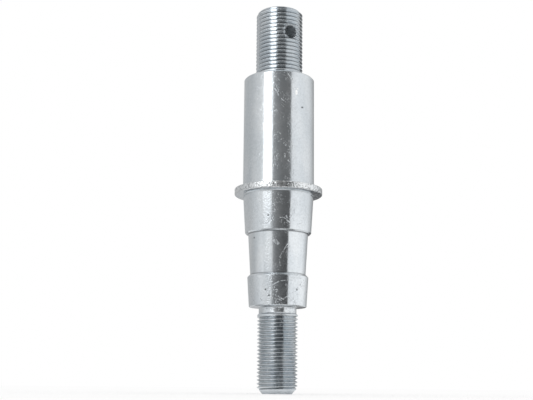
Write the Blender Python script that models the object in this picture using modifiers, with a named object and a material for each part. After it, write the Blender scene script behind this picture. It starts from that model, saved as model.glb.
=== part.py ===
"""Lower link pin of a tractor's three-point linkage, turned from one bar of steel.

Units are metres and +Z runs up the pin's axis. The origin is the centre of the lower end face.
From the bottom up the pin has a threaded end, a neck, a lower seat, a waist, an upper seat,
a collar, a barrel and an upper threaded end with a hole through it along Y.
"""

import math

import bmesh
import bpy
from mathutils import Matrix

# Lengths along the axis, from the lower end to the upper one
LOWER_THREAD_LENGTH = 0.0390
NECK_LENGTH = 0.0033
LOWER_SEAT_LENGTH = 0.0158
WAIST_LENGTH = 0.0207
UPPER_SEAT_LENGTH = 0.0199
COLLAR_THICKNESS = 0.0034
BARREL_LENGTH = 0.0575
UPPER_THREAD_LENGTH = 0.0366

# Diameters
LOWER_THREAD_DIAMETER = 0.0200
NECK_DIAMETER = 0.0187
SEAT_SMALL_DIAMETER = 0.0286
SEAT_TAPER = 1 / 8
WAIST_LOWER_DIAMETER = 0.0276
WAIST_UPPER_DIAMETER = 0.0301
COLLAR_DIAMETER = 0.0444
BARREL_DIAMETER = 0.0360
UPPER_THREAD_DIAMETER = 0.0240
CROSS_HOLE_DIAMETER = 0.0067

# Place of the cross hole
CROSS_HOLE_TO_END = 0.0133

# Threads: both right-hand, with flanks at 60 degrees to each other and sharp roots
LOWER_THREAD_PITCH = 0.0018
UPPER_THREAD_PITCH = 0.0020
CREST_FLAT = 0.00022
FLANK_ANGLE = math.radians(30)
LOWER_THREAD_START = math.radians(70)
UPPER_THREAD_START = math.radians(110)
THREAD_RUN_OUT = math.radians(180)

# Edges
LOWER_END_CHAMFER_LENGTH = 0.0031
LOWER_END_CHAMFER_DEPTH = 0.0028
UPPER_END_CHAMFER = 0.0015
NECK_CHAMFER = 0.0005
LOWER_SEAT_FOOT_CHAMFER = 0.0003
LOWER_SEAT_CHAMFER = 0.0010
UPPER_SEAT_CHAMFER = 0.0006
COLLAR_EDGE_RADIUS = 0.0006
COLLAR_ROOT_RADIUS = 0.0006
NECK_ROOT_RADIUS = 0.0008
BARREL_CHAMFER = 0.0007
CROSS_HOLE_CHAMFER = 0.0004

# Facets and cuts
TURNED_SEGMENTS = 36
HOLE_SEGMENTS = 24
ROUNDING_STEPS = 3
SHARP_ANGLE = math.radians(28)
MERGE_DISTANCE = 0.000002
GROOVE_OVERRUN = 0.0001
HOLE_OVERRUN = 0.0020

# Finish
STEEL_COLOUR = (0.62, 0.63, 0.64, 1.0)
STEEL_ROUGHNESS = 0.28
STEEL_METALLIC = 1.0

# Heights above the lower end face
LOWER_SEAT_BOTTOM = LOWER_THREAD_LENGTH + NECK_LENGTH
WAIST_BOTTOM = LOWER_SEAT_BOTTOM + LOWER_SEAT_LENGTH
UPPER_SEAT_BOTTOM = WAIST_BOTTOM + WAIST_LENGTH
COLLAR_BOTTOM = UPPER_SEAT_BOTTOM + UPPER_SEAT_LENGTH
BARREL_BOTTOM = COLLAR_BOTTOM + COLLAR_THICKNESS
UPPER_THREAD_BOTTOM = BARREL_BOTTOM + BARREL_LENGTH
PIN_TOP = UPPER_THREAD_BOTTOM + UPPER_THREAD_LENGTH


def remove_scene_objects():
    for obj in list(bpy.data.objects):
        bpy.data.objects.remove(obj, do_unlink=True)


def new_collection(name):
    collection = bpy.data.collections.new(name)
    bpy.context.scene.collection.children.link(collection)
    return collection


def linked_object(name, mesh, collection):
    obj = bpy.data.objects.new(name, mesh)
    collection.objects.link(obj)
    return obj


def steel_material():
    material = bpy.data.materials.new("bright_zinc_plated_steel")
    material.use_nodes = True
    shader = material.node_tree.nodes["Principled BSDF"]
    shader.inputs["Base Color"].default_value = STEEL_COLOUR
    shader.inputs["Roughness"].default_value = STEEL_ROUGHNESS
    shader.inputs["Metallic"].default_value = STEEL_METALLIC
    return material


def seat_radius(height):
    """Radius at a height on the one taper that both seats lie on."""
    return (SEAT_SMALL_DIAMETER + SEAT_TAPER * (height - LOWER_SEAT_BOTTOM)) / 2


def rounding(centre_radius, centre_height, size, start_angle, turn):
    """Quarter circle of the outline about a centre; the turn is 1 for a root, -1 for an edge."""
    points = []
    for step in range(ROUNDING_STEPS + 1):
        angle = start_angle + turn * math.pi / 2 * step / ROUNDING_STEPS
        radius = centre_radius + size * math.cos(angle)
        height = centre_height + size * math.sin(angle)
        points.append((radius, height))
    return points


def upper_end_outline():
    """Upper end face with its chamfer, and the shank of the upper thread."""
    radius = UPPER_THREAD_DIAMETER / 2
    return [
        (0, PIN_TOP),
        (radius - UPPER_END_CHAMFER, PIN_TOP),
        (radius, PIN_TOP - UPPER_END_CHAMFER),
        (radius, UPPER_THREAD_BOTTOM),
    ]


def barrel_outline():
    radius = BARREL_DIAMETER / 2
    return [
        (radius - BARREL_CHAMFER, UPPER_THREAD_BOTTOM),
        (radius, UPPER_THREAD_BOTTOM - BARREL_CHAMFER),
        (radius, BARREL_BOTTOM),
    ]


def collar_outline():
    """Rim with rounded edges, and the small root under it."""
    rim = COLLAR_DIAMETER / 2 - COLLAR_EDGE_RADIUS
    upper_edge = BARREL_BOTTOM - COLLAR_EDGE_RADIUS
    lower_edge = COLLAR_BOTTOM + COLLAR_EDGE_RADIUS
    root_height = COLLAR_BOTTOM - COLLAR_ROOT_RADIUS
    root = seat_radius(root_height) + COLLAR_ROOT_RADIUS
    return (
        rounding(rim, upper_edge, COLLAR_EDGE_RADIUS, math.pi / 2, -1)
        + rounding(rim, lower_edge, COLLAR_EDGE_RADIUS, 0, -1)
        + rounding(root, root_height, COLLAR_ROOT_RADIUS, math.pi / 2, 1)
    )


def taper_outline():
    """Upper seat, recessed waist and lower seat, with a chamfer at each seat's end."""
    upper_seat_start = UPPER_SEAT_BOTTOM + UPPER_SEAT_CHAMFER
    lower_seat_end = WAIST_BOTTOM - LOWER_SEAT_CHAMFER
    lower_seat_start = LOWER_SEAT_BOTTOM + LOWER_SEAT_FOOT_CHAMFER
    return [
        (seat_radius(upper_seat_start), upper_seat_start),
        (seat_radius(upper_seat_start) - UPPER_SEAT_CHAMFER, UPPER_SEAT_BOTTOM),
        (WAIST_UPPER_DIAMETER / 2, UPPER_SEAT_BOTTOM),
        (WAIST_LOWER_DIAMETER / 2, WAIST_BOTTOM),
        (seat_radius(lower_seat_end) - LOWER_SEAT_CHAMFER, WAIST_BOTTOM),
        (seat_radius(lower_seat_end), lower_seat_end),
        (seat_radius(lower_seat_start), lower_seat_start),
        (seat_radius(lower_seat_start) - LOWER_SEAT_FOOT_CHAMFER, LOWER_SEAT_BOTTOM),
    ]


def lower_end_outline():
    """Neck with its root, the shank of the lower thread, and the lower end face's chamfer."""
    radius = LOWER_THREAD_DIAMETER / 2
    neck = NECK_DIAMETER / 2
    root_height = LOWER_SEAT_BOTTOM - NECK_ROOT_RADIUS
    root = rounding(neck + NECK_ROOT_RADIUS, root_height, NECK_ROOT_RADIUS, math.pi / 2, 1)
    return root + [
        (neck, LOWER_THREAD_LENGTH),
        (radius, LOWER_THREAD_LENGTH - NECK_CHAMFER),
        (radius, LOWER_END_CHAMFER_LENGTH),
        (radius - LOWER_END_CHAMFER_DEPTH, 0),
        (0, 0),
    ]


def turned_object(name, outline, segments, collection):
    """Object turned about Z from an outline of (radius, height) points."""
    bm = bmesh.new()
    verts = [bm.verts.new((radius, 0, height)) for radius, height in outline]
    for start, end in zip(verts, verts[1:]):
        bm.edges.new((start, end))
    mesh = bpy.data.meshes.new(name)
    bm.to_mesh(mesh)
    bm.free()
    obj = linked_object(name, mesh, collection)
    screw = obj.modifiers.new("Turn", "SCREW")
    screw.axis = "Z"
    screw.steps = segments
    screw.render_steps = segments
    screw.use_merge_vertices = True
    screw.merge_threshold = MERGE_DISTANCE
    return obj


def mark_as_cutter(obj):
    obj.display_type = "WIRE"
    obj.hide_render = True


def cut(obj, cutter):
    boolean = obj.modifiers.new(cutter.name, "BOOLEAN")
    boolean.operation = "DIFFERENCE"
    boolean.solver = "EXACT"
    boolean.object = cutter


def thread_groove(name, diameter, pitch, bottom, top, start_angle, shoulder_above, collection):
    """Helical V groove that climbs between two heights and fades out at its shoulder end."""
    depth = (pitch - CREST_FLAT) / 2 / math.tan(FLANK_ANGLE)
    root_radius = diameter / 2 - depth
    outer_radius = diameter / 2 + GROOVE_OVERRUN
    half_width = (outer_radius - root_radius) * math.tan(FLANK_ANGLE)
    step_angle = math.tau / TURNED_SEGMENTS
    step_rise = pitch / TURNED_SEGMENTS
    steps = round((top - bottom) / step_rise)
    run_out_steps = THREAD_RUN_OUT / step_angle

    bm = bmesh.new()
    section = [
        bm.verts.new((root_radius, 0, bottom)),
        bm.verts.new((outer_radius, 0, bottom - half_width)),
        bm.verts.new((outer_radius, 0, bottom + half_width)),
    ]
    face = bm.faces.new(section)
    bmesh.ops.spin(
        bm,
        geom=[face, *face.edges, *face.verts],
        axis=(0, 0, 1),
        dvec=(0, 0, step_rise),
        angle=steps * step_angle,
        steps=steps,
    )
    bm.verts.index_update()
    for vert in bm.verts:
        station = vert.index // len(section)
        steps_to_shoulder = steps - station if shoulder_above else station
        lift = (outer_radius - root_radius) * max(0, 1 - steps_to_shoulder / run_out_steps)
        radius = vert.co.xy.length
        vert.co.xy *= (radius + lift) / radius
    bmesh.ops.rotate(bm, verts=bm.verts, matrix=Matrix.Rotation(start_angle, 3, "Z"))
    bmesh.ops.recalc_face_normals(bm, faces=bm.faces)
    mesh = bpy.data.meshes.new(name)
    bm.to_mesh(mesh)
    bm.free()
    groove = linked_object(name, mesh, collection)
    mark_as_cutter(groove)
    return groove


def upper_thread_groove(collection):
    return thread_groove(
        "upper_thread_groove",
        UPPER_THREAD_DIAMETER,
        UPPER_THREAD_PITCH,
        UPPER_THREAD_BOTTOM + UPPER_THREAD_PITCH / 2,
        PIN_TOP + UPPER_THREAD_PITCH,
        UPPER_THREAD_START,
        False,
        collection,
    )


def lower_thread_groove(collection):
    return thread_groove(
        "lower_thread_groove",
        LOWER_THREAD_DIAMETER,
        LOWER_THREAD_PITCH,
        -LOWER_THREAD_PITCH,
        LOWER_THREAD_LENGTH - LOWER_THREAD_PITCH / 2,
        LOWER_THREAD_START,
        True,
        collection,
    )


def cross_hole(collection):
    """Drill with a countersink at each mouth, laid along Y through the upper thread."""
    radius = CROSS_HOLE_DIAMETER / 2
    mouth = UPPER_THREAD_DIAMETER / 2 - CROSS_HOLE_CHAMFER
    reach = UPPER_THREAD_DIAMETER / 2 + HOLE_OVERRUN
    mouth_radius = radius + reach - mouth
    outline = [
        (0, reach),
        (mouth_radius, reach),
        (radius, mouth),
        (radius, -mouth),
        (mouth_radius, -reach),
        (0, -reach),
    ]
    drill = turned_object("cross_hole", outline, HOLE_SEGMENTS, collection)
    drill.location.z = PIN_TOP - CROSS_HOLE_TO_END
    drill.rotation_euler.x = math.pi / 2
    mark_as_cutter(drill)
    return drill


def finish_mesh(obj):
    """Applies the modifiers and shades the round faces smooth between sharp edges."""
    bpy.context.view_layer.update()
    evaluated = obj.evaluated_get(bpy.context.evaluated_depsgraph_get())
    mesh = bpy.data.meshes.new_from_object(evaluated)
    bm = bmesh.new()
    bm.from_mesh(mesh)
    bmesh.ops.remove_doubles(bm, verts=bm.verts, dist=MERGE_DISTANCE)
    bm.to_mesh(mesh)
    bm.free()
    mesh.name = obj.name
    mesh.shade_smooth()
    mesh.set_sharp_from_angle(angle=SHARP_ANGLE)
    obj.modifiers.clear()
    obj.data = mesh


def build_link_pin(collection, cutters):
    outline = (
        upper_end_outline()
        + barrel_outline()
        + collar_outline()
        + taper_outline()
        + lower_end_outline()
    )
    pin = turned_object("link_pin", outline, TURNED_SEGMENTS, collection)
    cut(pin, upper_thread_groove(cutters))
    cut(pin, lower_thread_groove(cutters))
    cut(pin, cross_hole(cutters))
    finish_mesh(pin)
    pin.data.materials.clear()
    pin.data.materials.append(steel_material())


def main():
    remove_scene_objects()
    build_link_pin(new_collection("lower_link_pin"), new_collection("cutters"))


main()
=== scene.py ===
"""Looks of the lower link pin: bright zinc-plated steel on a white floor.

Units are metres and +Z runs up the pin's axis. Angles about the axis are measured from -Y, the
side where the cross hole opens, and grow towards +X.
"""

import math
from types import SimpleNamespace

import bmesh
import bpy
from mathutils import Matrix, Vector


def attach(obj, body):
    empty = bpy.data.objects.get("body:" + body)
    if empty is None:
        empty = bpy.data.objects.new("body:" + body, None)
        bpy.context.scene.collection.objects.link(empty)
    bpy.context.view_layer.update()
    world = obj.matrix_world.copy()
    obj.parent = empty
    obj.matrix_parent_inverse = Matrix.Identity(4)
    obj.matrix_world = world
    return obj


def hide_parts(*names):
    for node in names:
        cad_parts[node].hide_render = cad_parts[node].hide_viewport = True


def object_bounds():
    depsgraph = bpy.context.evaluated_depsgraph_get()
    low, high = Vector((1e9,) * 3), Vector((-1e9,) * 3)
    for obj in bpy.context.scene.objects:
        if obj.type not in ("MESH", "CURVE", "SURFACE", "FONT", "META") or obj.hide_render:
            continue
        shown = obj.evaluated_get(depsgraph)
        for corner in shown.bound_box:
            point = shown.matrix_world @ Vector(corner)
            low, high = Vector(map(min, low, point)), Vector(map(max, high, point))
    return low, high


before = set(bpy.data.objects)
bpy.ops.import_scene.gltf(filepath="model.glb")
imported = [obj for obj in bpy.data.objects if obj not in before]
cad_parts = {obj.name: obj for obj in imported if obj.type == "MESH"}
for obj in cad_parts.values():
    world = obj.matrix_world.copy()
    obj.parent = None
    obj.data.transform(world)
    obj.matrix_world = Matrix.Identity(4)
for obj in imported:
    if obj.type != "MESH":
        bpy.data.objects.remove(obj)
CAD_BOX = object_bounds()
PIN_NODE = "link_pin"

# Lengths along the axis, from the lower end to the upper one
LOWER_THREAD_LENGTH = 0.0390
NECK_LENGTH = 0.0033
LOWER_SEAT_LENGTH = 0.0158
WAIST_LENGTH = 0.0207
UPPER_SEAT_LENGTH = 0.0199
COLLAR_THICKNESS = 0.0034
BARREL_LENGTH = 0.0575
CROSS_HOLE_TO_END = 0.0133

# Diameters
LOWER_THREAD_DIAMETER = 0.0200
NECK_DIAMETER = 0.0187
SEAT_SMALL_DIAMETER = 0.0286
SEAT_TAPER = 1 / 8
WAIST_LOWER_DIAMETER = 0.0276
WAIST_UPPER_DIAMETER = 0.0301
BARREL_DIAMETER = 0.0360
UPPER_THREAD_DIAMETER = 0.0240
CROSS_HOLE_DIAMETER = 0.0067

# Threads, with the angle at which each groove starts and the turn over which it fades out
LOWER_THREAD_PITCH = 0.0018
UPPER_THREAD_PITCH = 0.0020
CREST_FLAT = 0.00022
FLANK_ANGLE = math.radians(30)
LOWER_THREAD_START = math.radians(70)
UPPER_THREAD_START = math.radians(110)
THREAD_RUN_OUT = math.radians(180)

# Edges
LOWER_END_CHAMFER_LENGTH = 0.0031
LOWER_END_CHAMFER_DEPTH = 0.0028
UPPER_END_CHAMFER = 0.0015
NECK_CHAMFER = 0.0005
LOWER_SEAT_FOOT_CHAMFER = 0.0003
LOWER_SEAT_CHAMFER = 0.0010
UPPER_SEAT_CHAMFER = 0.0006
COLLAR_EDGE_RADIUS = 0.0006
COLLAR_ROOT_RADIUS = 0.0006
NECK_ROOT_RADIUS = 0.0008
BARREL_CHAMFER = 0.0007
CROSS_HOLE_CHAMFER = 0.0009
EDGE_RADIUS = 0.00018

# Mesh resolution, and how far cutters reach beyond what they cut
TURNED_SEGMENTS = 120
HOLE_SEGMENTS = 64
EDGE_STEPS = 4
RUN_HOLD = 0.00015
HELD_RUN = 4 * RUN_HOLD
SHARP_ANGLE = math.radians(32)
MERGE_DISTANCE = 0.000002
GROOVE_OVERRUN = 0.00008
HOLE_OVERRUN = 0.0020

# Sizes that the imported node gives
PIN_TOP = CAD_BOX[1].z
COLLAR_DIAMETER = CAD_BOX[1].x - CAD_BOX[0].x

# Heights above the lower end face
LOWER_SEAT_BOTTOM = LOWER_THREAD_LENGTH + NECK_LENGTH
WAIST_BOTTOM = LOWER_SEAT_BOTTOM + LOWER_SEAT_LENGTH
UPPER_SEAT_BOTTOM = WAIST_BOTTOM + WAIST_LENGTH
COLLAR_BOTTOM = UPPER_SEAT_BOTTOM + UPPER_SEAT_LENGTH
BARREL_BOTTOM = COLLAR_BOTTOM + COLLAR_THICKNESS
UPPER_THREAD_BOTTOM = BARREL_BOTTOM + BARREL_LENGTH
CROSS_HOLE_HEIGHT = PIN_TOP - CROSS_HOLE_TO_END

# Camera: where it stands round the pin, and how it is turned
CAMERA_AZIMUTH = math.radians(-31.5)
CAMERA_DISTANCE = 0.4801
CAMERA_HEIGHT = 0.0030
CAMERA_PITCH = math.radians(10.40)
CAMERA_YAW = math.radians(-0.71)
CAMERA_ROLL = math.radians(0.53)
CAMERA_LENS = 65.19
CAMERA_SENSOR = 36.0
CAMERA_SHIFT_Y = 0.020
CAMERA_CLIP_START = 0.01


def seat_radius(height):
    """Radius of the taper that both seats lie on."""
    return (SEAT_SMALL_DIAMETER + SEAT_TAPER * (height - LOWER_SEAT_BOTTOM)) / 2


def pin_outline():
    """Corners of the turned profile, from the top down, as (radius, height, edge radius)."""
    upper = UPPER_THREAD_DIAMETER / 2
    barrel = BARREL_DIAMETER / 2
    collar = COLLAR_DIAMETER / 2
    lower = LOWER_THREAD_DIAMETER / 2
    neck = NECK_DIAMETER / 2
    upper_seat = UPPER_SEAT_BOTTOM + UPPER_SEAT_CHAMFER
    lower_seat = WAIST_BOTTOM - LOWER_SEAT_CHAMFER
    foot = LOWER_SEAT_BOTTOM + LOWER_SEAT_FOOT_CHAMFER
    edge = EDGE_RADIUS
    return [
        (0, PIN_TOP, 0),
        (upper - UPPER_END_CHAMFER, PIN_TOP, edge),
        (upper, PIN_TOP - UPPER_END_CHAMFER, 0),
        (upper, UPPER_THREAD_BOTTOM, 0),
        (barrel - BARREL_CHAMFER, UPPER_THREAD_BOTTOM, edge),
        (barrel, UPPER_THREAD_BOTTOM - BARREL_CHAMFER, edge),
        (barrel, BARREL_BOTTOM, edge),
        (collar, BARREL_BOTTOM, COLLAR_EDGE_RADIUS),
        (collar, COLLAR_BOTTOM, COLLAR_EDGE_RADIUS),
        (seat_radius(COLLAR_BOTTOM), COLLAR_BOTTOM, COLLAR_ROOT_RADIUS),
        (seat_radius(upper_seat), upper_seat, edge),
        (seat_radius(upper_seat) - UPPER_SEAT_CHAMFER, UPPER_SEAT_BOTTOM, edge),
        (WAIST_UPPER_DIAMETER / 2, UPPER_SEAT_BOTTOM, edge),
        (WAIST_LOWER_DIAMETER / 2, WAIST_BOTTOM, edge / 2),
        (seat_radius(lower_seat) - LOWER_SEAT_CHAMFER, WAIST_BOTTOM, edge / 2),
        (seat_radius(lower_seat), lower_seat, edge),
        (seat_radius(foot), foot, edge / 2),
        (seat_radius(foot) - LOWER_SEAT_FOOT_CHAMFER, LOWER_SEAT_BOTTOM, edge / 2),
        (neck, LOWER_SEAT_BOTTOM, NECK_ROOT_RADIUS),
        (neck, LOWER_THREAD_LENGTH, 0),
        (lower, LOWER_THREAD_LENGTH - NECK_CHAMFER, 0),
        (lower, LOWER_END_CHAMFER_LENGTH, 0),
        (lower - LOWER_END_CHAMFER_DEPTH, 0, edge),
        (0, 0, 0),
    ]


def held(points):
    """The outline with a point close to both ends of each long run, so that shading stays flat."""
    result = [points[0]]
    for start, end in zip(points, points[1:]):
        run = end - start
        if run.length > HELD_RUN:
            step = run.normalized() * RUN_HOLD
            result += [start + step, end - step]
        result.append(end)
    return result


def rounded(corners, steps):
    """Points of an outline whose corners are replaced by arcs of their edge radii."""
    points = [Vector(corners[0][:2])]
    for before, corner, after in zip(corners, corners[1:], corners[2:]):
        here = Vector(corner[:2])
        radius = corner[2]
        if radius == 0:
            points.append(here)
            continue
        back = (Vector(before[:2]) - here).normalized()
        ahead = (Vector(after[:2]) - here).normalized()
        half_corner = back.angle(ahead) / 2
        middle = (back + ahead).normalized()
        centre = here + middle * (radius / math.sin(half_corner))
        start = here + back * (radius / math.tan(half_corner)) - centre
        turn = (math.pi - 2 * half_corner) * (1 if back.cross(ahead) < 0 else -1)
        for step in range(steps + 1):
            arm = start.copy()
            arm.rotate(Matrix.Rotation(turn * step / steps, 2))
            points.append(centre + arm)
    points.append(Vector(corners[-1][:2]))
    return points


def linked_object(name, data):
    obj = bpy.data.objects.new(name, data)
    bpy.context.scene.collection.objects.link(obj)
    return obj


def object_from(name, bm):
    """Object with the mesh that a bmesh holds, which is freed."""
    mesh = bpy.data.meshes.new(name)
    bm.to_mesh(mesh)
    bm.free()
    return linked_object(name, mesh)


def turned_object(name, points, segments):
    """Object turned about Z from an outline of (radius, height) points, top to bottom."""
    bm = bmesh.new()
    verts = [bm.verts.new((radius, 0, height)) for radius, height in points]
    for start, end in zip(verts, verts[1:]):
        bm.edges.new((start, end))
    obj = object_from(name, bm)
    screw = obj.modifiers.new("Turn", "SCREW")
    screw.axis = "Z"
    screw.steps = segments
    screw.render_steps = segments
    screw.use_merge_vertices = True
    screw.merge_threshold = MERGE_DISTANCE
    return obj


def cut(obj, cutter):
    boolean = obj.modifiers.new(cutter.name, "BOOLEAN")
    boolean.operation = "DIFFERENCE"
    boolean.solver = "EXACT"
    boolean.object = cutter


def groove_depth(pitch):
    """Depth of a V groove that leaves the crest flat between its turns."""
    return (pitch - CREST_FLAT) / 2 / math.tan(FLANK_ANGLE)


def thread_groove(name, diameter, pitch, bottom, top, start_angle, shoulder_above):
    """Helical V groove that climbs between two heights and fades out at its shoulder end."""
    root_radius = diameter / 2 - groove_depth(pitch)
    outer_radius = diameter / 2 + GROOVE_OVERRUN
    half_width = (outer_radius - root_radius) * math.tan(FLANK_ANGLE)
    step_angle = math.tau / TURNED_SEGMENTS
    step_rise = pitch / TURNED_SEGMENTS
    steps = round((top - bottom) / step_rise)
    run_out_steps = THREAD_RUN_OUT / step_angle
    bm = bmesh.new()
    section = [
        bm.verts.new((root_radius, 0, bottom)),
        bm.verts.new((outer_radius, 0, bottom - half_width)),
        bm.verts.new((outer_radius, 0, bottom + half_width)),
    ]
    face = bm.faces.new(section)
    bmesh.ops.spin(
        bm,
        geom=[face, *face.edges, *face.verts],
        axis=(0, 0, 1),
        dvec=(0, 0, step_rise),
        angle=steps * step_angle,
        steps=steps,
    )
    bm.verts.index_update()
    for vert in bm.verts:
        station = vert.index // len(section)
        steps_to_shoulder = steps - station if shoulder_above else station
        lift = (outer_radius - root_radius) * max(0, 1 - steps_to_shoulder / run_out_steps)
        radius = vert.co.xy.length
        vert.co.xy *= (radius + lift) / radius
    bmesh.ops.rotate(bm, verts=bm.verts, matrix=Matrix.Rotation(start_angle, 3, "Z"))
    bmesh.ops.recalc_face_normals(bm, faces=bm.faces)
    return object_from(name, bm)


def cross_hole_drill():
    """Drill along Y with a countersink at both mouths."""
    radius = CROSS_HOLE_DIAMETER / 2
    mouth = UPPER_THREAD_DIAMETER / 2 - CROSS_HOLE_CHAMFER
    reach = UPPER_THREAD_DIAMETER / 2 + HOLE_OVERRUN
    mouth_radius = radius + reach - mouth
    outline = [
        (0, reach),
        (mouth_radius, reach),
        (radius, mouth),
        (radius, -mouth),
        (mouth_radius, -reach),
        (0, -reach),
    ]
    drill = turned_object("cross_hole_drill", outline, HOLE_SEGMENTS)
    drill.location.z = CROSS_HOLE_HEIGHT
    drill.rotation_euler.x = math.pi / 2
    return drill


def build_pin():
    """The whole pin as one fine mesh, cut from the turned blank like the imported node."""
    pin = turned_object("finished_pin", held(rounded(pin_outline(), EDGE_STEPS)), TURNED_SEGMENTS)
    cutters = [
        thread_groove(
            "upper_groove",
            UPPER_THREAD_DIAMETER,
            UPPER_THREAD_PITCH,
            UPPER_THREAD_BOTTOM + UPPER_THREAD_PITCH / 2,
            PIN_TOP + UPPER_THREAD_PITCH,
            UPPER_THREAD_START,
            shoulder_above=False,
        ),
        thread_groove(
            "lower_groove",
            LOWER_THREAD_DIAMETER,
            LOWER_THREAD_PITCH,
            -LOWER_THREAD_PITCH,
            LOWER_THREAD_LENGTH - LOWER_THREAD_PITCH / 2,
            LOWER_THREAD_START,
            shoulder_above=True,
        ),
        cross_hole_drill(),
    ]
    for cutter in cutters:
        cut(pin, cutter)
    bpy.context.view_layer.update()
    evaluated = pin.evaluated_get(bpy.context.evaluated_depsgraph_get())
    mesh = bpy.data.meshes.new_from_object(evaluated)
    mesh.name = pin.name
    bm = bmesh.new()
    bm.from_mesh(mesh)
    bmesh.ops.remove_doubles(bm, verts=bm.verts, dist=MERGE_DISTANCE)
    bm.to_mesh(mesh)
    bm.free()
    mesh.shade_smooth()
    mesh.set_sharp_from_angle(angle=SHARP_ANGLE)
    pin.modifiers.clear()
    pin.data = mesh
    for cutter in cutters:
        bpy.data.objects.remove(cutter, do_unlink=True)
    return pin


# Colours of the zinc
ZINC_BRIGHT = (0.790, 0.815, 0.832, 1.0)
ZINC_DULL = (0.715, 0.750, 0.778, 1.0)
ZINC_CLOUD = (0.63, 0.67, 0.70, 1.0)
SPOT_AND_HIGHLIGHT_COLOUR = (0.98, 0.98, 0.97, 1.0)
CLOUD_SHARE = 0.45
# Share of the spot colour mixed over the collar's rim as a painted highlight
RIM_PAINTED_HIGHLIGHT = 0.45

# Brightness that is left where a mask is full; the groove, hole and corner levels are painted shade
UPPER_PAINTED_GROOVE_SHADE = 0.70
LOWER_PAINTED_GROOVE_SHADE = 0.76
PAINTED_HOLE_SHADE = 0.80
PAINTED_CORNER_SHADE = 0.55
MOTTLE_SHADE = 0.58
PIT_SHADE = 0.30
DARK_SPECK_SHADE = 0.65

# Roughness that is added where a mask is full
SPECK_ROUGHNESS = 0.20
SCUFF_ROUGHNESS = 0.38
CREST_ROUGHNESS = 0.26
HOLE_ROUGHNESS = 0.50
MOUTH_ROUGHNESS = 0.45

# Relief, and the share of it that is left on the threads
WAVE_HEIGHT = 0.000026
STREAK_HEIGHT = 0.000030
RING_HEIGHT = 0.000004
RIM_HEIGHT = 0.00022
NECK_RING_HEIGHT = 0.00012
SCUFF_HEIGHT = 0.000050
SPECK_DEPTH = 0.000060
PIT_DEPTH = 0.000050
THREAD_RELIEF = 0.15

# Noise as (scale, detail), some with factors along X, Y and Z, where one below 1 draws it out
PATCH_NOISE = (150, 3.0, (1, 1, 0.45))
CLOUD_NOISE = (70, 2.0, (1, 1, 0.5))
FINE_NOISE = (900, 2.0)
GRAIN_NOISE = (1500, 1.5)
DARK_GRAIN_NOISE = (1050, 1.0)
CLUSTER_NOISE = (170, 2.0)
WORN_NOISE = (1200, 2.0)
MOTTLE_NOISE = (960, 2.0)
ROUGHNESS_NOISE = (255, 3.0)
WAVE_NOISE = (330, 2.0)
STREAK_NOISE = (330, 2.0, (1, 1, 0.12))
RING_NOISE = (1500, 2.0, (0.08, 0.08, 1))
SCUFF_NOISE = (1500, 2.0)
RIM_NOISE = (1200, 1.0)
NECK_NOISE = (1500, 1.0, (0.2, 0.2, 1))

# Noise values between which a mask grows, and the levels it grows from and to if not 0 and 1
PATCH_RANGE = (0.35, 0.68)
CLOUD_RANGE = (0.32, 0.68)
FINE_RANGE = (0.32, 0.62, 0.94, 1.0)
SPECK_RANGE = (0.57, 0.69)
RUB_RANGE = (0.48, 0.62)
DARK_GRAIN_RANGE = (0.69, 0.75)
CLUSTER_RANGE = (0.42, 0.62, 0.10, 1.0)
WORN_RANGE = (0.38, 0.56, 0.25, 1.0)
MOTTLE_RANGE = (0.50, 0.62)
ROUGHNESS_RANGE = (0.3, 0.7, 0.12, 0.20)

# Share of the specks outside the seats, what is left of that on the waist, and the rubs' share
BARREL_SPECKS = 0.55
WAIST_SPECKS = 0.50
RUB_SHARE = 0.4

# Zones. Pairs say where a mask is full and where it is gone. The crest and painted shade depths
# are shares of a groove's depth, and the shade ones say where the painted shade sets in, is full,
# starts to end and is gone. A blend is how far from its edge a mask is full.
CREST_DEPTHS = (0.02, 0.12)
UPPER_PAINTED_SHADE_DEPTHS = (0.55, 0.82, 1.05, 1.25)
LOWER_PAINTED_SHADE_DEPTHS = (0.14, 0.32, 0.54, 0.76)
THREAD_END_BLEND = 3 * EDGE_RADIUS
HOLE_WALL_BLEND = (0.00002, 0.00008)
HOLE_DEPTH_RADII = (0.0096, 0.0103)
MOUTH_WIDTHS = (0.00072, 0.0012)
CORNER_WIDTHS = (0.000175, 0.0007)
SEAT_SPECK_HEIGHTS = (0.005, 0.011)
SEAT_BLEND = 0.0001
RIM_BLEND = 0.0002
NECK_BLEND = 0.0004
NECK_GAP = 0.0002
PLAIN_BLEND = 0.0005
MARK_SOFTNESS = 0.00022
MILLIMETRE = 0.001

# Marks are short lines as (angle, height, angle, height, half width), with angles in degrees
# from -Y and the rest in millimetres. These are the scuffs.
SCUFFS = (
    (-37.2, 149.6, -31.6, 146.2, 0.22),
    (-33.6, 149.8, -31.8, 148.2, 0.14),
    (-26.3, 148.2, -22.6, 146.0, 0.12),
    (-27.6, 144.4, -21.0, 142.9, 0.12),
    (-26.8, 142.6, -22.0, 141.3, 0.10),
    (-27.1, 141.5, -23.6, 140.3, 0.10),
    (-20.7, 121.1, -20.4, 120.9, 0.40),
    (-21.9, 116.8, -21.8, 114.8, 0.38),
    (-16.5, 113.2, -16.3, 113.0, 0.35),
    (-33.8, 115.7, -33.7, 113.2, 0.18),
    (-57.9, 132.4, -57.8, 129.9, 0.30),
    (-17.4, 157.5, -12.3, 155.1, 0.40),
    (-21.9, 84.7, -11.4, 82.2, 0.30),
    (-36.9, 73.6, -31.9, 72.4, 0.80),
    (-13.9, 72.1, -27.3, 65.8, 0.20),
    (-25.9, 65.3, -25.7, 65.2, 0.50),
    (-28.6, 64.3, -25.7, 61.6, 0.18),
    (-39.6, 52.2, -29.2, 53.8, 0.22),
    (-29.2, 53.8, -14.6, 54.4, 0.22),
    (-30.3, 46.6, -21.2, 45.2, 0.28),
    (-21.2, 45.2, -12.5, 46.7, 0.28),
)
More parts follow.
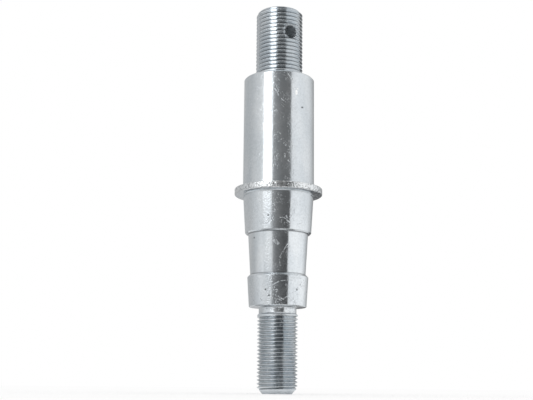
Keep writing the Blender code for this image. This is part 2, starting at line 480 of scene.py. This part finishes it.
# Small dark pits
PITS = (
    (8.0, 141.3, 9.9, 141.4, 0.42),
    (-48.2, 85.9, -48.0, 85.8, 0.40),
    (-84.2, 75.9, -84.0, 75.8, 0.40),
    (-55.3, 49.8, -55.1, 49.7, 0.40),
    (-48.4, 46.9, -48.1, 46.8, 0.42),
    (7.6, 50.1, 7.8, 50.0, 0.42),
)
# Rough strips along the plain surfaces
RUBS = (
    (-50.2, 97.0, -50.8, 81.5, 1.5),
    (-52.7, 73.8, -52.7, 60.5, 1.2),
    (-47.5, 57.0, -47.5, 43.8, 0.9),
)
# Spots whose colour is almost white, brighter than the plating round them
SPOTS = (
    (-2.6, 149.1, -2.6, 148.0, 0.70),
    (-0.5, 150.6, -0.4, 150.4, 0.35),
)


class Nodes:
    """Adds shader nodes to one tree and hands back their output sockets."""

    def __init__(self, tree):
        self.tree = tree

    def add(self, kind, output, inputs, **settings):
        """Node whose inputs are linked or set, and whose own properties are the settings."""
        node = self.tree.nodes.new(kind)
        for name, value in settings.items():
            setattr(node, name, value)
        for key, value in inputs.items():
            if isinstance(value, bpy.types.NodeSocket):
                self.tree.links.new(value, node.inputs[key])
            else:
                node.inputs[key].default_value = value
        return node.outputs[output]

    def maths(self, operation, *values):
        return self.add("ShaderNodeMath", 0, dict(enumerate(values)), operation=operation)

    def vectors(self, operation, output, *values):
        inputs = dict(enumerate(values))
        return self.add("ShaderNodeVectorMath", output, inputs, operation=operation)

    def combined(self, *values):
        return self.add("ShaderNodeCombineXYZ", 0, dict(enumerate(values)))

    def scaled(self, vector, factor):
        inputs = {0: vector, "Scale": factor}
        return self.add("ShaderNodeVectorMath", 0, inputs, operation="SCALE")

    def product(self, first, *others):
        for other in others:
            first = self.maths("MULTIPLY", first, other)
        return first

    def total(self, first, *others):
        for other in others:
            first = self.maths("ADD", first, other)
        return first

    def greatest(self, first, *others):
        for other in others:
            first = self.maths("MAXIMUM", first, other)
        return first

    def level(self, mask, outside, inside):
        """The outside level where a mask is zero, and the inside level where it is one."""
        return self.maths("MULTIPLY_ADD", mask, inside - outside, outside)

    def ramp(self, value, low, high, start=0.0, end=1.0):
        """Goes smoothly from start to end while the value goes from low to high."""
        inputs = {"Value": value, "From Min": low, "From Max": high, "To Min": start, "To Max": end}
        return self.add("ShaderNodeMapRange", "Result", inputs, interpolation_type="SMOOTHSTEP")

    def between(self, value, first, last):
        """One between two limits, each given as where the mask is gone and where it is full."""
        return self.product(self.ramp(value, *first), self.ramp(value, *last))

    def noise(self, point, scale, detail, factors=None):
        if factors is not None:
            point = self.vectors("MULTIPLY", 0, point, factors)
        return self.add("ShaderNodeTexNoise", 0, {"Vector": point, "Scale": scale, "Detail": detail})

    def pattern(self, point, noise, limits):
        """Noise turned into a mask or a level."""
        return self.ramp(self.noise(point, *noise), *limits)

    def mixed(self, share, first, second):
        """Colour between the first and the second."""
        return self.add("ShaderNodeMix", 2, {0: share, 6: first, 7: second}, data_type="RGBA")


def mark_radius(height):
    """Radius of the plain surface at a height, for laying out marks."""
    if height > BARREL_BOTTOM:
        return BARREL_DIAMETER / 2
    if WAIST_BOTTOM < height < UPPER_SEAT_BOTTOM:
        share = (height - WAIST_BOTTOM) / WAIST_LENGTH
        return (WAIST_LOWER_DIAMETER + share * (WAIST_UPPER_DIAMETER - WAIST_LOWER_DIAMETER)) / 2
    return seat_radius(height)


def line_mask(nodes, unwrapped, row):
    """One where the unwrapped surface lies on a short line, fading at the line's edge."""
    start_angle, start_height, end_angle, end_height, half_width = row
    start = Vector((math.radians(start_angle), start_height * MILLIMETRE, 0))
    run = Vector((math.radians(end_angle), end_height * MILLIMETRE, 0)) - start
    reach = mark_radius(start.y)
    start.x *= reach
    run.x *= reach
    arm = nodes.vectors("SUBTRACT", 0, unwrapped, start)
    share = nodes.vectors("DOT_PRODUCT", "Value", arm, run / run.length_squared)
    share = nodes.add("ShaderNodeClamp", 0, {0: share, 1: 0.0, 2: 1.0})
    distance = nodes.vectors("DISTANCE", "Value", arm, nodes.scaled(run, share))
    width = half_width * MILLIMETRE
    return nodes.ramp(distance, width + MARK_SOFTNESS, width - MARK_SOFTNESS)


def lines_mask(nodes, unwrapped, rows):
    """One on any of the lines of a table."""
    return nodes.greatest(*[line_mask(nodes, unwrapped, row) for row in rows])


def surface_place(nodes):
    """Where a shaded point lies: in space, by distance and height, and on the surface unwrapped."""
    point = nodes.add("ShaderNodeTexCoord", "Object", {})
    across, along, height = nodes.add("ShaderNodeSeparateXYZ", 0, {0: point}).node.outputs
    radius = nodes.vectors("LENGTH", "Value", nodes.combined(across, along))
    angle = nodes.maths("ARCTAN2", across, nodes.product(along, -1))
    return SimpleNamespace(
        point=point,
        across=across,
        radius=radius,
        height=height,
        unwrapped=nodes.combined(nodes.product(angle, radius), height),
    )


def thread_zone(nodes, depth, pitch, along_thread, painted_groove_shade, painted_shade_depths):
    """Mask of a thread's crests, and the painted shade laid in bands of its grooves."""
    root = groove_depth(pitch)
    crest_full, crest_gone = CREST_DEPTHS
    sets_in, full, starts_to_end, gone = painted_shade_depths
    crest = nodes.product(nodes.ramp(depth, crest_gone * root, crest_full * root), along_thread)
    painted_shade = nodes.product(
        nodes.ramp(depth, sets_in * root, full * root),
        nodes.ramp(depth, gone * root, starts_to_end * root),
        along_thread,
    )
    return crest, nodes.level(painted_shade, 1.0, painted_groove_shade)


def upper_thread_zone(nodes, place):
    radius = UPPER_THREAD_DIAMETER / 2
    chamfered = nodes.maths("SUBTRACT", PIN_TOP + radius - UPPER_END_CHAMFER, place.height)
    outer = nodes.maths("MINIMUM", chamfered, radius)
    depth = nodes.maths("SUBTRACT", outer, place.radius)
    along_thread = nodes.between(
        place.height,
        (UPPER_THREAD_BOTTOM + EDGE_RADIUS, UPPER_THREAD_BOTTOM + THREAD_END_BLEND),
        (PIN_TOP - EDGE_RADIUS, PIN_TOP - THREAD_END_BLEND),
    )
    return thread_zone(
        nodes, depth, UPPER_THREAD_PITCH, along_thread, UPPER_PAINTED_GROOVE_SHADE, UPPER_PAINTED_SHADE_DEPTHS
    )


def lower_thread_zone(nodes, place):
    radius = LOWER_THREAD_DIAMETER / 2
    slope = LOWER_END_CHAMFER_DEPTH / LOWER_END_CHAMFER_LENGTH
    end_radius = radius - LOWER_END_CHAMFER_DEPTH
    chamfered = nodes.maths("MULTIPLY_ADD", place.height, slope, end_radius)
    outer = nodes.maths("MINIMUM", chamfered, radius)
    depth = nodes.maths("SUBTRACT", outer, place.radius)
    along_thread = nodes.between(
        place.height,
        (EDGE_RADIUS, THREAD_END_BLEND),
        (LOWER_THREAD_LENGTH, LOWER_THREAD_LENGTH - NECK_CHAMFER),
    )
    return thread_zone(
        nodes, depth, LOWER_THREAD_PITCH, along_thread, LOWER_PAINTED_GROOVE_SHADE, LOWER_PAINTED_SHADE_DEPTHS
    )


def hole_zones(nodes, place):
    """Masks of the cross hole's inside, darkened with painted shade, and of its scuffed mouth."""
    rise = nodes.maths("SUBTRACT", place.height, CROSS_HOLE_HEIGHT)
    distance = nodes.vectors("LENGTH", "Value", nodes.combined(place.across, rise))
    wall = CROSS_HOLE_DIAMETER / 2
    wall_full, wall_gone = HOLE_WALL_BLEND
    mouth_full, mouth_gone = MOUTH_WIDTHS
    dark_radius, lit_radius = HOLE_DEPTH_RADII
    inside = nodes.ramp(distance, wall + wall_gone, wall + wall_full)
    around = nodes.ramp(distance, wall + mouth_gone, wall + mouth_full)
    hole = nodes.product(inside, nodes.ramp(place.radius, lit_radius, dark_radius))
    mouth = nodes.product(around, nodes.ramp(place.radius, dark_radius, lit_radius))
    return hole, mouth


def corner_shade_zone(nodes, place):
    """One along the inner corners, where the colour is darkened as painted shade."""
    section = nodes.combined(place.radius, 0, place.height)
    full, gone = CORNER_WIDTHS
    corners = (
        (BARREL_DIAMETER / 2, BARREL_BOTTOM),
        (WAIST_UPPER_DIAMETER / 2, UPPER_SEAT_BOTTOM),
        (WAIST_LOWER_DIAMETER / 2, WAIST_BOTTOM),
        (NECK_DIAMETER / 2, LOWER_SEAT_BOTTOM),
        (UPPER_THREAD_DIAMETER / 2, UPPER_THREAD_BOTTOM),
    )
    masks = []
    for radius, height in corners:
        distance = nodes.vectors("DISTANCE", "Value", section, (radius, 0, height))
        masks.append(nodes.ramp(distance, gone, full))
    return nodes.greatest(*masks)


def speckled_seats(nodes, height):
    """One on the foot of the upper seat and on all below the waist, where specks are dense."""
    full, gone = SEAT_SPECK_HEIGHTS
    upper_foot = nodes.between(
        height,
        (UPPER_SEAT_BOTTOM - SEAT_BLEND, UPPER_SEAT_BOTTOM + SEAT_BLEND),
        (UPPER_SEAT_BOTTOM + gone, UPPER_SEAT_BOTTOM + full),
    )
    below_waist = nodes.ramp(height, WAIST_BOTTOM + SEAT_BLEND, WAIST_BOTTOM - SEAT_BLEND)
    return nodes.greatest(upper_foot, below_waist)


def plain_relief(nodes, height):
    """Share of the relief: one on the plain surfaces, and less on the threads."""
    lower_end = LOWER_THREAD_LENGTH - PLAIN_BLEND
    upper_end = UPPER_THREAD_BOTTOM - PLAIN_BLEND
    return nodes.product(
        nodes.ramp(height, lower_end, LOWER_THREAD_LENGTH, THREAD_RELIEF, 1.0),
        nodes.ramp(height, UPPER_THREAD_BOTTOM, upper_end, THREAD_RELIEF, 1.0),
    )


def surface_zones(nodes, place):
    """Masks of the parts of the pin that look different from the rest."""
    upper_crest, upper_painted_shade = upper_thread_zone(nodes, place)
    lower_crest, lower_painted_shade = lower_thread_zone(nodes, place)
    hole, mouth = hole_zones(nodes, place)
    rim_radius = COLLAR_DIAMETER / 2
    return SimpleNamespace(
        crest=nodes.greatest(lower_crest, upper_crest),
        painted_groove_shade=nodes.product(lower_painted_shade, upper_painted_shade),
        hole=hole,
        mouth=mouth,
        corner=corner_shade_zone(nodes, place),
        seats=speckled_seats(nodes, place.height),
        waist=nodes.between(
            place.height,
            (WAIST_BOTTOM, WAIST_BOTTOM + EDGE_RADIUS),
            (UPPER_SEAT_BOTTOM, UPPER_SEAT_BOTTOM - EDGE_RADIUS),
        ),
        rim=nodes.ramp(place.radius, rim_radius - COLLAR_EDGE_RADIUS, rim_radius - RIM_BLEND),
        neck=nodes.between(
            place.height,
            (LOWER_THREAD_LENGTH, LOWER_THREAD_LENGTH + NECK_BLEND),
            (LOWER_SEAT_BOTTOM - NECK_GAP, LOWER_SEAT_BOTTOM - NECK_ROOT_RADIUS),
        ),
        plain=plain_relief(nodes, place.height),
    )


def surface_marks(nodes, place, zones):
    """Masks of scuffs, pits and burnished spots, and of rough and dark specks."""
    point = place.point
    worn = nodes.pattern(point, WORN_NOISE, WORN_RANGE)
    grain = nodes.noise(point, *GRAIN_NOISE)
    speck_share = nodes.product(
        nodes.pattern(point, CLUSTER_NOISE, CLUSTER_RANGE),
        nodes.level(zones.seats, BARREL_SPECKS, 1.0),
        nodes.level(zones.waist, 1.0, WAIST_SPECKS),
    )
    speck = nodes.product(nodes.ramp(grain, *SPECK_RANGE), speck_share)
    rubs = lines_mask(nodes, place.unwrapped, RUBS)
    rubbed = nodes.product(rubs, nodes.ramp(grain, *RUB_RANGE), RUB_SHARE)
    dark_grain = nodes.pattern(point, DARK_GRAIN_NOISE, DARK_GRAIN_RANGE)
    return SimpleNamespace(
        scuff=nodes.product(lines_mask(nodes, place.unwrapped, SCUFFS), worn),
        pit=lines_mask(nodes, place.unwrapped, PITS),
        spot=lines_mask(nodes, place.unwrapped, SPOTS),
        speck=nodes.greatest(speck, rubbed),
        dark_speck=nodes.product(dark_grain, speck_share),
    )


def zinc_colour(nodes, point, zones, marks):
    """Patches and clouds in the plating, whitish spots, a painted highlight on the rim, and all that
    darkens it, painted shade in the grooves, the cross hole and the inner corners included.
    """
    colour = nodes.mixed(nodes.pattern(point, PATCH_NOISE, PATCH_RANGE), ZINC_BRIGHT, ZINC_DULL)
    cloud = nodes.product(nodes.pattern(point, CLOUD_NOISE, CLOUD_RANGE), CLOUD_SHARE)
    colour = nodes.mixed(cloud, colour, ZINC_CLOUD)
    # Whitish spots, and a painted highlight on the collar's rim
    spots_and_rim_highlight = nodes.greatest(marks.spot, nodes.product(zones.rim, RIM_PAINTED_HIGHLIGHT))
    colour = nodes.mixed(spots_and_rim_highlight, colour, SPOT_AND_HIGHLIGHT_COLOUR)
    mottle = nodes.product(nodes.pattern(point, MOTTLE_NOISE, MOTTLE_RANGE), zones.rim)
    shade = nodes.product(
        # Painted shade in bands of the thread grooves
        zones.painted_groove_shade,
        nodes.level(mottle, 1.0, MOTTLE_SHADE),
        # Painted shade inside the cross hole
        nodes.level(zones.hole, 1.0, PAINTED_HOLE_SHADE),
        # Painted shade along the inner corners
        nodes.level(zones.corner, 1.0, PAINTED_CORNER_SHADE),
        nodes.level(marks.pit, 1.0, PIT_SHADE),
        nodes.level(marks.dark_speck, 1.0, DARK_SPECK_SHADE),
        nodes.pattern(point, FINE_NOISE, FINE_RANGE),
    )
    return nodes.scaled(colour, shade)


def zinc_roughness(nodes, point, zones, marks):
    """Smooth plating, rougher at marks, thread crests and the cross hole."""
    return nodes.total(
        nodes.pattern(point, ROUGHNESS_NOISE, ROUGHNESS_RANGE),
        nodes.product(marks.speck, SPECK_ROUGHNESS),
        nodes.product(marks.scuff, SCUFF_ROUGHNESS),
        nodes.product(zones.crest, CREST_ROUGHNESS),
        nodes.product(zones.hole, HOLE_ROUGHNESS),
        nodes.product(zones.mouth, MOUTH_ROUGHNESS),
    )


def zinc_normal(nodes, point, zones, marks):
    """Normal bent by waves, streaks, turned rings, specks, scuffs and pits."""
    relief = nodes.total(
        nodes.product(nodes.noise(point, *WAVE_NOISE), zones.plain, WAVE_HEIGHT),
        nodes.product(nodes.noise(point, *STREAK_NOISE), zones.plain, STREAK_HEIGHT),
        nodes.product(nodes.noise(point, *RING_NOISE), zones.plain, RING_HEIGHT),
        nodes.product(marks.speck, zones.plain, -SPECK_DEPTH),
        nodes.product(marks.scuff, nodes.noise(point, *SCUFF_NOISE), SCUFF_HEIGHT),
        nodes.product(nodes.noise(point, *RIM_NOISE), zones.rim, RIM_HEIGHT),
        nodes.product(nodes.noise(point, *NECK_NOISE), zones.neck, NECK_RING_HEIGHT),
        nodes.product(marks.pit, -PIT_DEPTH),
    )
    return nodes.add("ShaderNodeBump", "Normal", {"Height": relief, "Distance": 1.0})


def zinc_material():
    """Bright zinc over turned steel, marked where the photograph shows it, with painted shade in its
    hollows and a painted highlight on the rim.
    """
    material = bpy.data.materials.new("bright_zinc")
    material.use_nodes = True
    tree = material.node_tree
    shader = tree.nodes["Principled BSDF"]
    shader.inputs["Metallic"].default_value = 1.0
    nodes = Nodes(tree)
    place = surface_place(nodes)
    zones = surface_zones(nodes, place)
    marks = surface_marks(nodes, place, zones)
    colour = zinc_colour(nodes, place.point, zones, marks)
    roughness = zinc_roughness(nodes, place.point, zones, marks)
    normal = zinc_normal(nodes, place.point, zones, marks)
    tree.links.new(colour, shader.inputs["Base Color"])
    tree.links.new(roughness, shader.inputs["Roughness"])
    tree.links.new(normal, shader.inputs["Normal"])
    return material


# Floor and world
FLOOR_SIZE = 40.0
FLOOR_COLOUR = (0.985, 0.985, 0.985, 1.0)
FLOOR_ROUGHNESS = 0.9
WORLD_LEVEL = 1.0

# Studio ring round the pin, seen only in reflections: its radii and heights, from the foot of
# the pin out over the table, up the wall and in under the ceiling
WALL_RADIUS = 0.90
WALL_TOP = 1.20
FOOT_TOP = 0.13
BOX_BOTTOM = 0.24
WALL_MIDDLE = 0.58
WALL_HIGH = 0.80
FLOOR_GAP = 0.001
BASE_RADIUS = 0.0088
INNER_TABLE = (0.030, 0.055)
OUTER_TABLE = (0.20, 0.45)
BACK_TABLE_RADIUS = 0.26
BACK_TABLE_HEIGHT = 0.002
BOX_TOP_RADIUS = 0.50
CEILING_RADIUS = 0.001
RING_STEP = 4.0
RING_TINT = (0.985, 1.0, 1.012, 1.0)

# Light round the ring as (azimuth, level), which changes evenly between the entries. Azimuths
# are degrees from the camera and grow to its right. The white strip on the left is brightest
# high up, because the upper thread shows it only after two bounces.
WALL_LEVELS = (
    (-180, 0.54), (-100, 0.58), (-69, 0.75), (-50.0, 0.84), (-49.0, 2.00), (-21.0, 2.00),
    (-20.2, 0.42), (0, 0.235), (15, 0.185), (39.8, 0.183), (40.4, 0.90), (65, 1.00), (115, 0.87),
    (150, 0.43), (180, 0.20),
)
FOOT_LEVELS = (
    (-180, 0.52), (-115, 0.52), (-90, 0.72), (-65, 0.92), (-55, 0.84), (-23.5, 0.84), (-22.9, 0.38),
    (-5, 0.18), (20, 0.10), (39.8, 0.10), (40.4, 1.00), (55, 1.10), (112, 1.08), (148, 0.52),
    (180, 0.20),
)
HIGH_LEVELS = (
    (-180, 0.68), (-69, 0.74), (-52, 0.80), (-51, 3.60), (-18.8, 3.60), (-18.0, 0.36), (0, 0.26),
    (39.8, 0.22), (40.4, 1.00), (120, 1.00), (180, 0.62),
)
TABLE_LEVELS = ((-180, 0.29), (180, 0.29))
BRIGHT_TABLE_LEVELS = ((-180, 0.84), (180, 0.84))
BOX_TOP_LEVELS = (
    (-180, 0.62), (-53, 0.75), (-52, 3.20), (-18, 3.20), (-17, 0.28), (39.8, 0.20), (40.4, 0.95),
    (120, 0.95), (180, 0.62),
)
CEILING_LEVELS = ((-180, 0.48), (180, 0.48))
BACK_LEFT_LEVELS = ((-180, 0.52), (-130, 0.52))
BACK_RIGHT_LEVELS = ((130, 0.14), (180, 0.14))


def ring_material():
    """Emission of the studio ring, at the level that its vertices carry."""
    material = bpy.data.materials.new("studio_level")
    material.use_nodes = True
    tree = material.node_tree
    tree.nodes.clear()
    out = tree.nodes.new("ShaderNodeOutputMaterial")
    light = tree.nodes.new("ShaderNodeEmission")
    level = tree.nodes.new("ShaderNodeAttribute")
    level.attribute_name = "level"
    light.inputs["Color"].default_value = RING_TINT
    tree.links.new(level.outputs["Fac"], light.inputs["Strength"])
    tree.links.new(light.outputs["Emission"], out.inputs["Surface"])
    return material


def level_at(levels, azimuth):
    """Light level of a table at an azimuth."""
    for (start, start_level), (end, end_level) in zip(levels, levels[1:]):
        if start <= azimuth <= end:
            return start_level + (azimuth - start) / (end - start) * (end_level - start_level)
    return levels[-1][1]


def ring_azimuths(tables):
    """All azimuths of some level tables, with steps added between them."""
    corners = sorted({azimuth for table in tables for azimuth, level in table})
    azimuths = corners[:1]
    for start, end in zip(corners, corners[1:]):
        steps = math.ceil((end - start) / RING_STEP)
        azimuths += [start + (end - start) * step / steps for step in range(1, steps + 1)]
    return azimuths


def studio_ring(name, section, material):
    """Band round the pin whose section is a list of (radius, height, level table)."""
    bm = bmesh.new()
    layer = bm.verts.layers.float.new("level")
    rows = []
    for azimuth in ring_azimuths([levels for radius, height, levels in section]):
        angle = CAMERA_AZIMUTH + math.radians(azimuth)
        row = []
        for radius, height, levels in section:
            vert = bm.verts.new((radius * math.sin(angle), -radius * math.cos(angle), height))
            vert[layer] = level_at(levels, azimuth)
            row.append(vert)
        rows.append(row)
    for left, right in zip(rows, rows[1:]):
        for index, (lower, upper) in enumerate(zip(section, section[1:])):
            if lower[:2] != upper[:2]:
                bm.faces.new((left[index], right[index], right[index + 1], left[index + 1]))
    ring = object_from(name, bm)
    ring.data.materials.append(material)
    ring.visible_camera = False
    ring.visible_diffuse = False
    ring.visible_shadow = False


def build_studio():
    """Soft box, flats and flags round the pin, and the grey table that it reflects."""
    material = ring_material()
    inner_start, inner_end = INNER_TABLE
    outer_start, outer_end = OUTER_TABLE
    studio_ring(
        "studio_ring",
        [
            (BASE_RADIUS, FLOOR_GAP, BRIGHT_TABLE_LEVELS),
            (inner_start, FLOOR_GAP, BRIGHT_TABLE_LEVELS),
            (inner_start, FLOOR_GAP, TABLE_LEVELS),
            (inner_end, FLOOR_GAP, TABLE_LEVELS),
            (inner_end, FLOOR_GAP, BRIGHT_TABLE_LEVELS),
            (outer_start, FLOOR_GAP, BRIGHT_TABLE_LEVELS),
            (outer_start, FLOOR_GAP, TABLE_LEVELS),
            (outer_end, FLOOR_GAP, TABLE_LEVELS),
            (outer_end, FLOOR_GAP, FOOT_LEVELS),
            (WALL_RADIUS, FLOOR_GAP, FOOT_LEVELS),
            (WALL_RADIUS, FOOT_TOP, FOOT_LEVELS),
            (WALL_RADIUS, BOX_BOTTOM, WALL_LEVELS),
            (WALL_RADIUS, WALL_MIDDLE, WALL_LEVELS),
            (WALL_RADIUS, WALL_HIGH, HIGH_LEVELS),
            (WALL_RADIUS, WALL_TOP, HIGH_LEVELS),
            (WALL_RADIUS, WALL_TOP, BOX_TOP_LEVELS),
            (BOX_TOP_RADIUS, WALL_TOP, BOX_TOP_LEVELS),
            (BOX_TOP_RADIUS, WALL_TOP, CEILING_LEVELS),
            (CEILING_RADIUS, WALL_TOP, CEILING_LEVELS),
        ],
        material,
    )
    for name, levels in (
        ("studio_back_left", BACK_LEFT_LEVELS),
        ("studio_back_right", BACK_RIGHT_LEVELS),
    ):
        section = [
            (BACK_TABLE_RADIUS, BACK_TABLE_HEIGHT, levels),
            (WALL_RADIUS, BACK_TABLE_HEIGHT, levels),
        ]
        studio_ring(name, section, material)


def build_floor():
    bm = bmesh.new()
    bmesh.ops.create_grid(bm, x_segments=1, y_segments=1, size=FLOOR_SIZE / 2)
    floor = object_from("floor", bm)
    material = bpy.data.materials.new("floor_paper")
    material.use_nodes = True
    shader = material.node_tree.nodes["Principled BSDF"]
    shader.inputs["Base Color"].default_value = FLOOR_COLOUR
    shader.inputs["Roughness"].default_value = FLOOR_ROUGHNESS
    shader.inputs["Specular IOR Level"].default_value = 0.0
    floor.data.materials.append(material)


def build_world():
    world = bpy.data.worlds.new("studio")
    bpy.context.scene.world = world
    world.use_nodes = True
    background = world.node_tree.nodes["Background"]
    background.inputs["Color"].default_value = (1, 1, 1, 1)
    background.inputs["Strength"].default_value = WORLD_LEVEL


def build_camera():
    """Camera low in front of the pin, looking a little up."""
    data = bpy.data.cameras.new("camera")
    data.lens = CAMERA_LENS
    data.sensor_width = CAMERA_SENSOR
    data.shift_y = CAMERA_SHIFT_Y
    data.clip_start = CAMERA_CLIP_START
    camera = linked_object("camera", data)
    place = Matrix.Translation((0, -CAMERA_DISTANCE, CAMERA_HEIGHT))
    upright = Matrix.Rotation(math.pi / 2 + CAMERA_PITCH, 4, "X")
    heading = Matrix.Rotation(-CAMERA_YAW, 4, "Z")
    roll = Matrix.Rotation(CAMERA_ROLL, 4, "Z")
    round_pin = Matrix.Rotation(CAMERA_AZIMUTH, 4, "Z")
    camera.matrix_world = round_pin @ place @ heading @ upright @ roll
    bpy.context.scene.camera = camera


pin = build_pin()
pin.data.materials.append(zinc_material())
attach(pin, "root")
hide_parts(PIN_NODE)

build_world()
build_floor()
build_studio()
build_camera()
bpy.context.scene.view_settings.view_transform = "Standard"
